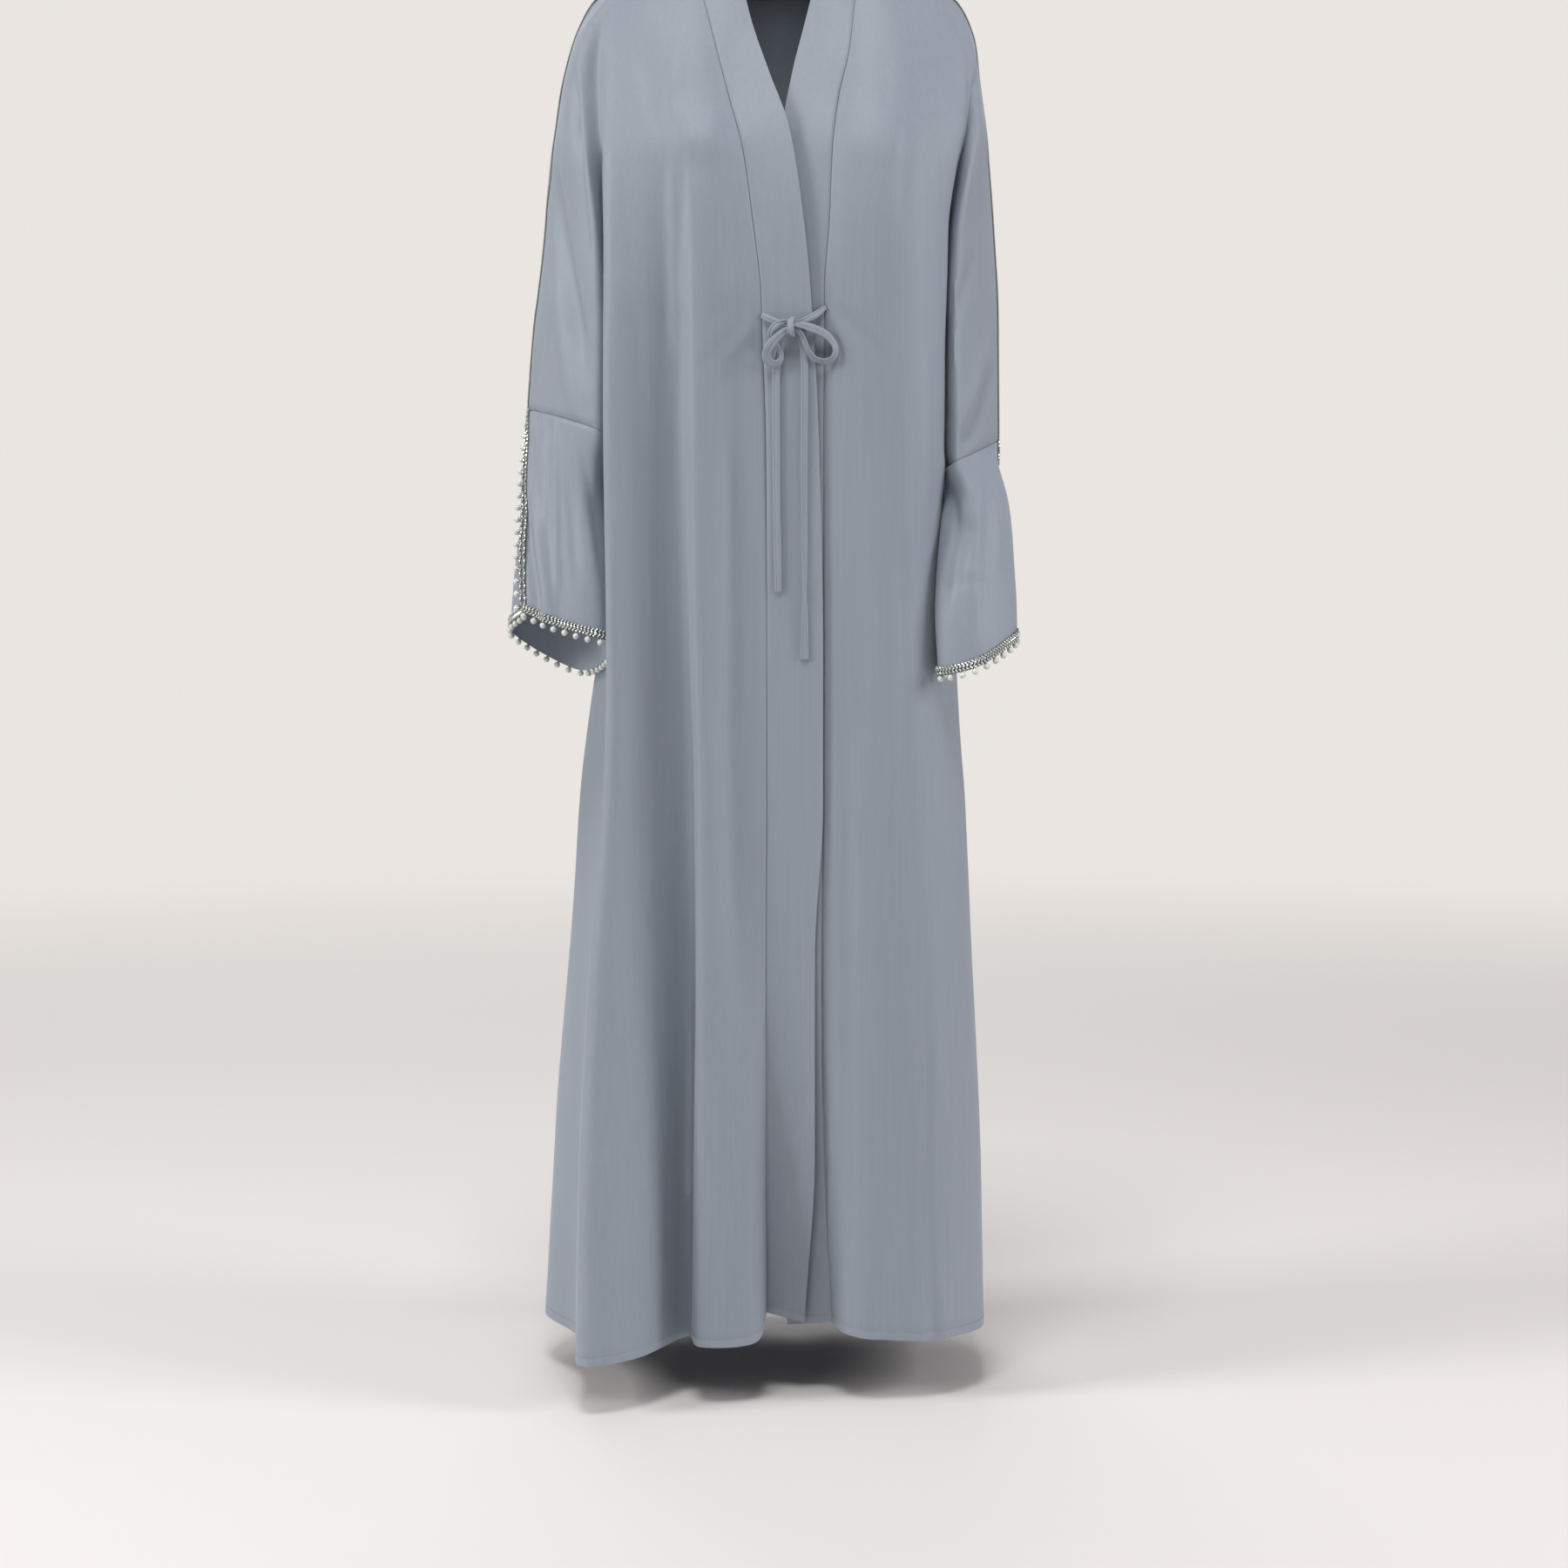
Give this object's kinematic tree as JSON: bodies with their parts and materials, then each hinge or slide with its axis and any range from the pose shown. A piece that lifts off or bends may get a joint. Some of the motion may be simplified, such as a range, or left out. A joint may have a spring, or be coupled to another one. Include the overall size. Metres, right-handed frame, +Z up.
{
  "type": "abaya cloak",
  "caption": "Open-front abaya cloak, worn form, with banded front, tied bow, grown-on sleeves and flared slit cuffs edged with bead braid.",
  "frame": {"origin": "middle of the neck opening at the height of the shoulder points, where the wearer's shoulders carry the cloak", "axes": "+Z up, -Y the way the front faces, +X towards the wearer's left"},
  "size_m": [0.5206, 0.4045, 1.4509],
  "materials": {
    "crepe": "smooth matte crepe with a soft sheen, dusty blue-grey",
    "braid": "silver rhinestone braid"
  },
  "bodies": {
    "root": {"right_front": "crepe", "left_front": "crepe", "back": "crepe", "right_lower_sleeve": "crepe", "left_lower_sleeve": "crepe", "right_band": "crepe", "left_band": "crepe", "right_tie": "crepe", "left_tie": "crepe", "bow_knot": "crepe", "right_overarm_braid": "braid", "left_overarm_braid": "braid", "right_cuff_braid": "braid", "left_cuff_braid": "braid"}
  },
  "joints": []
}
